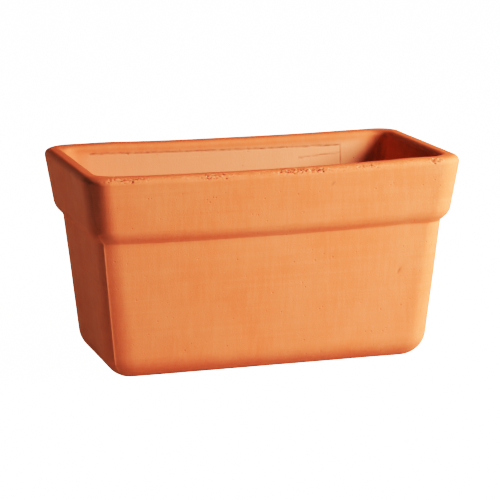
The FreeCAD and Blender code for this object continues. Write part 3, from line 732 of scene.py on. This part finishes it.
    @staticmethod
    def first_ring(
        shape: bmesh.types.BMesh, stations: list[Station], row: Outline
    ) -> list[bmesh.types.BMVert]:
        """Makes a ring of vertices and seats it on an outline."""
        ring = bmesh.ops.create_circle(shape, segments=len(stations), radius=1.0)["verts"]
        ring.sort(key=lambda vertex: math.atan2(vertex.co.y, vertex.co.x) % math.tau)
        for vertex, station in zip(ring, stations):
            vertex.co = station.on(row)
        return ring

    @staticmethod
    def next_ring(
        shape: bmesh.types.BMesh, ring: list[bmesh.types.BMVert], stations: list[Station], row: Outline
    ) -> list[bmesh.types.BMVert]:
        """Extrudes a ring and seats the new one on the next outline.

        Args:
            shape: The bmesh.
            ring: The ring's vertices in order.
            stations: The stations of an outline.
            row: The next outline.

        Returns:
            The new ring's vertices in the same order.
        """
        edges = [shape.edges.get((ring[i - 1], ring[i])) for i in range(len(ring))]
        made = bmesh.ops.extrude_edge_only(shape, edges=edges)["geom"]
        fresh = {item for item in made if isinstance(item, bmesh.types.BMVert)}
        following = []
        for vertex, station in zip(ring, stations):
            above = next(e.other_vert(vertex) for e in vertex.link_edges if e.other_vert(vertex) in fresh)
            above.co = station.on(row)
            following.append(above)
        return following

    def close_with_drains(self, shape: bmesh.types.BMesh, base: list, floor: list) -> None:
        """Closes the base and the cavity's floor round the drain holes.

        Args:
            shape: The bmesh.
            base: The innermost ring of the base.
            floor: The innermost ring of the cavity's floor.
        """
        low_edges, high_edges = self.ring_edges(shape, base), self.ring_edges(shape, floor)
        lip = 0.0012
        levels = ((0.0, lip), (lip * 0.3, lip * 0.3), (lip, 0.0), (self.floor - lip, 0.0))
        levels += ((self.floor - lip * 0.3, lip * 0.3), (self.floor, lip))
        for x, radius in self.drains:
            seat = Matrix.Translation((x, 0, 0))
            ring = bmesh.ops.create_circle(shape, segments=40, radius=radius + lip, matrix=seat)["verts"]
            edges = list({edge for vertex in ring for edge in vertex.link_edges})
            low_edges += edges
            for level, flare in levels[1:]:
                made = bmesh.ops.extrude_edge_only(shape, edges=edges)["geom"]
                ring = [item for item in made if isinstance(item, bmesh.types.BMVert)]
                drawn = [item for item in made if isinstance(item, bmesh.types.BMEdge)]
                edges = [edge for edge in drawn if all(vertex in ring for vertex in edge.verts)]
                for vertex in ring:
                    out = Vector((vertex.co.x - x, vertex.co.y, 0)).normalized() * (radius + flare)
                    vertex.co = Vector((x, 0, level)) + out
            high_edges += edges
        for edges in (low_edges, high_edges):
            bmesh.ops.triangle_fill(shape, use_beauty=True, edges=edges)

    @staticmethod
    def ring_edges(shape: bmesh.types.BMesh, ring: list[bmesh.types.BMVert]) -> list[bmesh.types.BMEdge]:
        """The edges between neighbours of a ring."""
        return [shape.edges.get((ring[i - 1], ring[i])) for i in range(len(ring))]

    @staticmethod
    def refine(shape: bmesh.types.BMesh, wanted: Callable[[Vector], bool], cuts: int) -> None:
        """Divides the faces whose middles are wanted into smaller ones."""
        faces = [face for face in shape.faces if len(face.verts) == 4 and wanted(face.calc_center_median())]
        edges = list({edge for face in faces for edge in face.edges})
        bmesh.ops.subdivide_edges(shape, edges=edges, cuts=cuts, use_grid_fill=True)

    def on_front_rim(self, place: Vector) -> bool:
        """Whether a place is on the outer rounding or the top of the front rim."""
        return place.y < -self.width / 2 + 0.009 and place.z > self.height - 0.0085

    def near_mould_line(self, place: Vector) -> bool:
        """Whether a place on the inside of the back wall is close to a mould line."""
        if place.y < 0.060 or place.y > self.width / 2 - 0.0105 or place.z < 0.130:
            return False
        return min(self.line_distance(line, place) for line in self.lines) < 0.0028

    @staticmethod
    def line_distance(line: MouldLine, place: Vector) -> float:
        """Distance from a place to a mould line, on the wall."""
        start, end = Vector(line.start), Vector(line.end)
        point = Vector((place.x, place.z))
        share = max(0.0, min(1.0, (point - start).dot(end - start) / (end - start).length_squared))
        return (point - start.lerp(end, share)).length

    # ------------------------------------------------------------ surface

    def work_surface(self, shape: bmesh.types.BMesh) -> None:
        """Gives the clay its unevenness, sag, pores and mould lines, and notes for the finish its tears, pale
        grains, painted shade and painted light.
        """
        names = ("painted_shade", "pale", "inside", "crown_shade", "torn")
        painted_shade, pale, inside, crown_shade, torn = (shape.verts.layers.float.new(name) for name in names)
        shape.normal_update()
        pores = self.seated(self.rim_pores(), [v.co.copy() for v in shape.verts if v.co.y < -0.068])
        tree = kd_of([place for place, _, _ in pores])
        moves = []
        for vertex in shape.verts:
            place, normal = vertex.co, vertex.normal
            hollow, shade_amount = self.pore_at(place, tree, pores)
            groove, groove_shade = self.groove_at(place)
            # Painted shade: the pores, the mould lines and the rim's inner edge are darkened.
            vertex[painted_shade] = max(0.70 * shade_amount, groove_shade, self.inner_edge_shade(place, normal))
            # Painted highlight along the parting arris, with the pale grains in the mould lines.
            vertex[pale] = max(self.crest(place), self.grain_at(place))
            vertex[torn] = self.torn_at(place)
            # Painted light: the inside of the cavity gets paler.
            vertex[inside] = self.cavity_light_at(place)
            # Painted shade on the rim's crown, where it looks up.
            vertex[crown_shade] = self.crown_shade_at(place, normal)
            moves.append(normal * (self.waviness(place) - hollow - groove))
        for vertex, move in zip(shape.verts, moves):
            if vertex.co.z > self.shrink:
                vertex.co.z -= sum(sag.at(vertex.co, self.height) for sag in self.sags)
                vertex.co += move

    def cavity_light_at(self, place: Vector) -> float:
        """Painted light inside the cavity: 0 on the rim, outside and near the ends, rising to 1 a few
        millimetres down inside it.
        """
        drop = (self.height - place.z) / (self.height - self.floor)
        wall = self.rim_wall + self.cavity_draft * drop - 0.002
        beyond = max(abs(place.x) - self.length / 2, abs(place.y) - self.width / 2) + wall
        if beyond > 0 or place.z < self.floor - 0.001:
            return 0.0
        middle = min(1.0, max(0.0, (self.length / 2 - 0.020 - abs(place.x)) / 0.018))
        return middle * min(1.0, max(0.0, (self.height - 0.0060 - place.z) / 0.0040))

    def torn_at(self, place: Vector) -> float:
        """How torn the clay's skin is at a point of the front rim, from 0 to 1."""
        if not self.on_front_rim(place):
            return 0.0
        inside = self.width / 2 - self.rim_fillet
        turn = math.degrees(math.atan2(place.z - self.height + self.rim_fillet, -place.y - inside))
        thick = 0.0
        for cluster in self.clusters:
            away = (place.x - cluster.centre) / (1.1 * cluster.spread)
            thick += min(1.0, cluster.depth / 0.0008) * math.exp(-(away**4))
        return min(1.0, thick) * math.exp(-(((turn - 50.0) / 34.0) ** 2))

    def grain_at(self, place: Vector) -> float:
        """1 in the middle of a pale grain caught in the mould line, falling to 0 round it."""
        if place.y < 0.060 or place.y > self.width / 2 - 0.0105 or place.z < 0.130:
            return 0.0
        away = min(math.hypot(place.x - x, place.z - z) for x, z in self.grains)
        return 1.6 * max(0.0, 1.0 - away / 0.0011)

    def inner_edge_shade(self, place: Vector, normal: Vector) -> float:
        """Painted shade on the rim's inner edge, where its rounding turns into the cavity: how dark it is at
        a point.
        """
        if place.z < self.height - 0.0050:
            return 0.0
        if abs(place.y) > abs(place.x) * 0.4:
            inwards = -normal.y * place.y / self.width * 2.6
        else:
            inwards = -normal.x * math.copysign(1, place.x)
        return 0.34 * min(1.0, max(0.0, (inwards - 0.12) / 0.2)) * min(1.0, max(0.0, (0.75 - inwards) / 0.3))

    def crown_shade_at(self, place: Vector, normal: Vector) -> float:
        """Painted shade on the crown of the rim: 1 where it looks up, falling to 0 down its roundings."""
        if place.z < self.height - 0.008:
            return 0.0
        return min(1.0, max(0.0, (normal.z - 0.55) / 0.35))

    @staticmethod
    def seated(pores: list[Pore], skin: list[Vector]) -> list[Pore]:
        """The pores, each moved to the nearest point of the clay's skin."""
        tree = kd_of(skin)
        return [(tree.find(place)[0], radius, depth) for place, radius, depth in pores]

    def waviness(self, place: Vector) -> float:
        """How far the pressed clay strays from true, never outwards past the drawn size."""
        slow = noise.noise(place * 21.0)
        middling = noise.noise(place * 75.0 + Vector((3.1, 7.7, 1.9)))
        fine = noise.noise(place * 260.0 + Vector((9.4, 2.2, 5.8)))
        return 0.00020 * slow + 0.00007 * middling + 0.000025 * fine - 0.00005

    def crest(self, place: Vector) -> float:
        """Painted highlight along a parting arris: from 0 to 1 on its crest at a point."""
        crease = self.height - self.collar_height - self.bevel_height
        if place.z > crease or place.x * place.y < 0:
            return 0.0
        drop = 1.0 - place.z / crease
        corner = self.crease_corner + (self.foot_corner - self.crease_corner) * drop
        centre_x = self.length / 2 - self.collar_draft - self.collar_step - self.end_draft * drop - corner
        centre_y = self.width / 2 - self.collar_draft - self.collar_step - self.side_draft * drop - corner
        out = Vector((abs(place.x) - centre_x, abs(place.y) - centre_y)) / corner
        away = (out - Vector(self.arris_at)).length * corner
        return max(0.0, 1.0 - away / 0.0011) * min(1.0, max(0.0, (place.z - 0.006) / 0.012))

    def rim_pores(self) -> list[Pore]:
        """Where the rim's clay is torn: centre, radius and depth of each pore."""
        rand = random.Random(self.seed)
        pores = []
        for cluster in self.clusters:
            for _ in range(cluster.count):
                x = cluster.centre + rand.uniform(-1, 1) * cluster.spread
                turn = math.radians(rand.gauss(44, 15))
                radius = rand.uniform(0.0004, 0.0009)
                depth = cluster.depth * rand.uniform(0.6, 1.2)
                step = rand.uniform(-0.0010, 0.0010)
                for _ in range(rand.choice((1, 1, 2, 3))):
                    pores.append((self.rim_point(x, turn), radius, depth))
                    x += step + rand.uniform(-0.0004, 0.0004)
                    turn += rand.uniform(-0.12, 0.12)
        pores.append((Vector((0.101, -0.0704, 0.0723)), 0.0011, 0.0007))
        pores.append((Vector((0.042, -0.0845, 0.1493)), 0.0008, 0.0004))
        return pores

    def rim_point(self, x: float, turn: float) -> Vector:
        """A point on the outer rounding of the front rim, turned up from level by an angle."""
        inside = self.width / 2 - self.rim_fillet
        out, up = self.rim_fillet * math.cos(turn), self.rim_fillet * (1 - math.sin(turn))
        return Vector((x, -inside - out, self.height - up))

    @staticmethod
    def pore_at(place: Vector, tree: kdtree.KDTree, pores: list[Pore]) -> tuple[float, float]:
        """Depth of the pores at a point, and the painted shade in them."""
        depth = shade_amount = 0.0
        for _, index, distance in tree.find_range(place, 0.0013):
            _, radius, deepest = pores[index]
            if distance < radius:
                bowl = (1 - (distance / radius) ** 2) ** 2
                depth = max(depth, deepest * bowl)
                shade_amount = max(shade_amount, bowl * min(1.0, deepest / 0.0006))
        return depth, shade_amount

    def groove_at(self, place: Vector) -> tuple[float, float]:
        """Depth of the mould lines at a point on the inside of the back wall, and the painted shade in them.
        """
        if place.y < 0.060 or place.y > self.width / 2 - 0.0105 or place.z < 0.130:
            return 0.0, 0.0
        wobble = 0.0004 * noise.noise(place * 160.0) + 0.0002 * noise.noise(place * 520.0)
        depth = shade_amount = 0.0
        for line in self.lines:
            away = abs(self.line_distance(line, place + Vector((wobble, 0.0, wobble))))
            if away < line.half_width * 2:
                shape = math.exp(-((away / line.half_width) ** 2))
                ragged = 0.65 + 0.55 * noise.noise(place * 240.0)
                depth = max(depth, line.depth * shape * ragged)
                shade_amount = max(shade_amount, 1.1 * shape * ragged)
        return depth, max(0.0, min(1.0, shade_amount))


def kd_of(places: list[Vector]) -> kdtree.KDTree:
    """A search tree over points."""
    tree = kdtree.KDTree(len(places))
    for index, place in enumerate(places):
        tree.insert(place, index)
    tree.balance()
    return tree


# ---------------------------------------------------------------- insert


class Plastics(Enum):
    """The insert's plastics."""

    TRAY = MouldedPlastic("tray_plastic", (0.018, 0.018, 0.019), (0.035, 0.034, 0.033), 0.50, 900.0)
    PLATFORM = MouldedPlastic("platform_plastic", (0.030, 0.045, 0.034), (0.050, 0.068, 0.054), 0.46, 1100.0)
    FITTING = MouldedPlastic("fitting_plastic", (0.060, 0.064, 0.066), (0.090, 0.094, 0.096), 0.38, 1600.0)
    CAP = MouldedPlastic("cap_plastic", (0.030, 0.155, 0.045), (0.045, 0.210, 0.065), 0.44, 1800.0)
    FLOAT = MouldedPlastic("float_foam", (0.72, 0.70, 0.65), (0.62, 0.59, 0.53), 0.62, 1300.0, 0.00018)
    ROD = MouldedPlastic("rod_plastic", (0.74, 0.74, 0.71), (0.64, 0.63, 0.60), 0.32, 1800.0)
    TIP = MouldedPlastic("tip_plastic", (0.56, 0.020, 0.012), (0.64, 0.035, 0.020), 0.22, 1800.0, 3e-5, 0.0)
    RUBBER = MouldedPlastic("gasket_rubber", (0.012, 0.012, 0.012), (0.030, 0.029, 0.028), 0.72, 1400.0)


@dataclass(frozen=True)
class Part:
    """One piece of the insert: its node, its finish, its slot and how far its edges are rounded."""

    node: str
    body: str
    slot: str
    finish: object
    edge: float = 0.0005


class Insert:
    """The self-watering insert, with the soft edges of moulded pieces."""

    def __init__(self) -> None:
        """Lists the pieces."""
        spots = ("front", "back", "end")
        legs = [f"platform_leg_{spot}_{side}" for side in ("left", "right") for spot in spots]
        self.parts = [Part("reservoir_tray", "tray", "tray_plastic", Plastics.TRAY, 0.0006)]
        self.parts += [Part("overflow_gasket", "tray", "gasket_rubber", Plastics.RUBBER, 0.0003)]
        overflow = ("overflow_pipe", "overflow_nut")
        self.parts += [Part(n, "tray", "fitting_plastic", Plastics.FITTING, 0.0004) for n in overflow]
        deck = ["soil_platform", "wick_cup_left", "wick_cup_right"] + legs
        self.parts += [Part(n, "platform", "platform_plastic", Plastics.PLATFORM, 0.0005) for n in deck]
        fittings = ("fill_tube", "fill_collar", "gauge_well", "gauge_guide", "gauge_retainer")
        self.parts += [Part(n, "platform", "fitting_plastic", Plastics.FITTING, 0.0004) for n in fittings]
        self.parts += [Part("fill_cap", "fill_cap", "cap_plastic", Plastics.CAP, 0.0005)]
        self.parts += [Part("gauge_float", "float", "float_foam", Plastics.FLOAT, 0.0004)]
        self.parts += [Part("gauge_rod", "float", "rod_plastic", Plastics.ROD, 0.0003)]
        self.parts += [Part("gauge_tip", "float", "tip_plastic", Plastics.TIP, 0.0003)]
        self.parts += [Part("gauge_sight_cap", "platform", "clear_plastic", ClearPlastic(), 0.0004)]
        self.parts += [Part("fill_hinge_pin", "platform", "pin_steel", TurnedSteel(), 0.0002)]
        self.materials: dict[str, bpy.types.Material] = {}

    def material_for(self, part: Part) -> bpy.types.Material:
        """The material of a part's slot, built on first use."""
        if part.slot not in self.materials:
            maker = part.finish.value if isinstance(part.finish, Plastics) else part.finish
            self.materials[part.slot] = maker.build()
        return self.materials[part.slot]

    def build(self) -> None:
        """Makes every piece."""
        for part in self.parts:
            self.make(part)
            LOG.info("made %s", part.node)

    def make(self, part: Part) -> bpy.types.Object:
        """Copies a node's shape, joins its faces and rounds its edges."""
        shape = bmesh.new()
        shape.from_mesh(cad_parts[part.node].data)
        bmesh.ops.remove_doubles(shape, verts=shape.verts, dist=1e-6)
        bmesh.ops.dissolve_limit(shape, angle_limit=math.radians(1.0), verts=shape.verts, edges=shape.edges)
        for edge in shape.edges:
            edge.smooth = edge.calc_face_angle(0.0) < math.radians(32)
        piece = finish_mesh(shape, f"{part.node}_moulded", self.material_for(part))
        bevel = piece.modifiers.new("soft_edges", "BEVEL")
        bevel.width = part.edge
        bevel.segments = 2
        bevel.limit_method = "ANGLE"
        bevel.angle_limit = math.radians(32)
        bevel.use_clamp_overlap = True
        bevel.harden_normals = True
        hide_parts(part.node)
        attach(piece, part.body)
        return piece


# ---------------------------------------------------------------- studio


@dataclass(frozen=True)
class Lamp:
    """A soft area light: name, degrees round to the right, degrees up, distance, size, power and colour."""

    name: str
    turn: float
    lift: float
    distance: float
    size: tuple[float, float]
    power: float
    colour: Colour = (1.0, 1.0, 1.0)

    def place(self) -> Vector:
        """Where it stands."""
        turn, lift = math.radians(self.turn), math.radians(self.lift)
        out = Vector((math.sin(turn) * math.cos(lift), -math.cos(turn) * math.cos(lift), math.sin(lift)))
        return LAMP_TARGET + out * self.distance


@dataclass(frozen=True)
class Studio:
    """The pale floor, the soft lamps, the tone of the print and the camera."""

    azimuth: float = -16.01
    elevation: float = 11.60
    distance: float = 1.900
    roll: float = -0.68
    lens: float = 172.9
    shift: tuple[float, float] = (-0.0001, 0.0027)
    aim_height: float = 0.0818
    bounce: float = 0.02
    lamps: tuple[Lamp, ...] = (
        Lamp("key", 53.0, 28.0, 1.10, (0.30, 0.50), 14.2),
        Lamp("low_key", 54.0, -1.0, 1.20, (0.40, 0.08), 3.6),
        Lamp("low_fill", -140.0, 0.0, 1.60, (0.70, 0.14), 4.6, (1.0, 1.0, 0.78)),
        Lamp("top_soft", 90.0, 76.0, 1.30, (0.40, 0.60), 1.4),
    )
    tone: tuple[tuple[float, float], ...] = ((0.025, 0.047), (0.10, 0.317), (0.25, 0.690), (0.50, 0.912))

    def build(self) -> None:
        """Sets the floor, lamps, world, tone and camera."""
        self.make_floor()
        for lamp in self.lamps:
            self.make_lamp(lamp)
        self.make_world()
        self.set_tone()
        self.make_camera()

    def make_world(self) -> None:
        """A white surround that is seen but gives almost no light."""
        world = bpy.data.worlds.new("studio")
        world.use_nodes = True
        bench = Bench(world.node_tree)
        seen = bench.add("LightPath").outputs["Is Camera Ray"]
        background = world.node_tree.nodes["Background"]
        background.inputs[0].default_value = (1.0, 1.0, 1.0, 1.0)
        bench.feed(background.inputs[1], bench.remap(seen, 0.0, 1.0, 0.012, 2.4))
        bpy.context.scene.world = world

    def set_tone(self) -> None:
        """The contrast of the print, as one curve over scene values from 0 to 2."""
        view = bpy.context.scene.view_settings
        view.view_transform = "Standard"
        view.use_curve_mapping = True
        view.curve_mapping.white_level = (2.0, 2.0, 2.0)
        for value, shown in self.tone:
            view.curve_mapping.curves[3].points.new(value, shown)
        view.curve_mapping.update()

    def make_floor(self) -> None:
        """A large pale floor: bright to the camera, and a soft even bounce to the clay."""
        shape = bmesh.new()
        bmesh.ops.create_grid(shape, x_segments=8, y_segments=8, size=6.0)
        material, bench, shader, coords = new_material("studio_floor")
        seen = bench.add("LightPath").outputs["Is Camera Ray"]
        grain = bench.noise(coords, 3.0, 2.0)
        paint = bench.mix(bench.remap(grain, 0.2, 0.8), (0.43, 0.43, 0.43), (0.41, 0.41, 0.41))
        bench.feed(shader.inputs["Base Color"], paint)
        shader.inputs["Emission Color"].default_value = (1.0, 1.0, 1.0, 1.0)
        bench.feed(shader.inputs["Emission Strength"], bench.remap(seen, 0.0, 1.0, self.bounce, 1.6))
        shader.inputs["Roughness"].default_value = 0.9
        shader.inputs["Specular IOR Level"].default_value = 0.1
        finish_mesh(shape, "floor", material)

    @staticmethod
    def make_lamp(lamp: Lamp) -> None:
        """Places one area light and turns it to its target."""
        data = bpy.data.lights.new(lamp.name, "AREA")
        data.shape = "RECTANGLE"
        data.size, data.size_y = lamp.size
        data.energy = lamp.power
        data.color = lamp.colour
        light = bpy.data.objects.new(lamp.name, data)
        light.location = lamp.place()
        light.rotation_euler = (LAMP_TARGET - lamp.place()).to_track_quat("-Z", "Y").to_euler()
        bpy.context.scene.collection.objects.link(light)

    def make_camera(self) -> None:
        """Places the camera."""
        turn, lift, roll = (math.radians(angle) for angle in (self.azimuth, self.elevation, self.roll))
        back = Vector((math.sin(turn) * math.cos(lift), -math.cos(turn) * math.cos(lift), math.sin(lift)))
        right = Vector((math.cos(turn), math.sin(turn), 0.0))
        up = back.cross(right)
        right, up = right * math.cos(roll) + up * math.sin(roll), up * math.cos(roll) - right * math.sin(roll)
        data = bpy.data.cameras.new("camera")
        data.lens = self.lens
        data.sensor_width = 36.0
        data.shift_x, data.shift_y = self.shift
        camera = bpy.data.objects.new("camera", data)
        place = back * self.distance + Vector((0.0, 0.0, self.aim_height))
        camera.matrix_world = Matrix.Translation(place) @ Matrix((right, up, back)).transposed().to_4x4()
        bpy.context.scene.collection.objects.link(camera)
        bpy.context.scene.camera = camera


def main() -> None:
    """Builds everything in order."""
    logging.basicConfig(level=logging.INFO, format="%(name)s: %(message)s")
    shell = ClayTrough().build()
    LOG.info("made %s with %d faces", shell.name, len(shell.data.polygons))
    Insert().build()
    Studio().build()


if __name__ == "__main__":
    main()
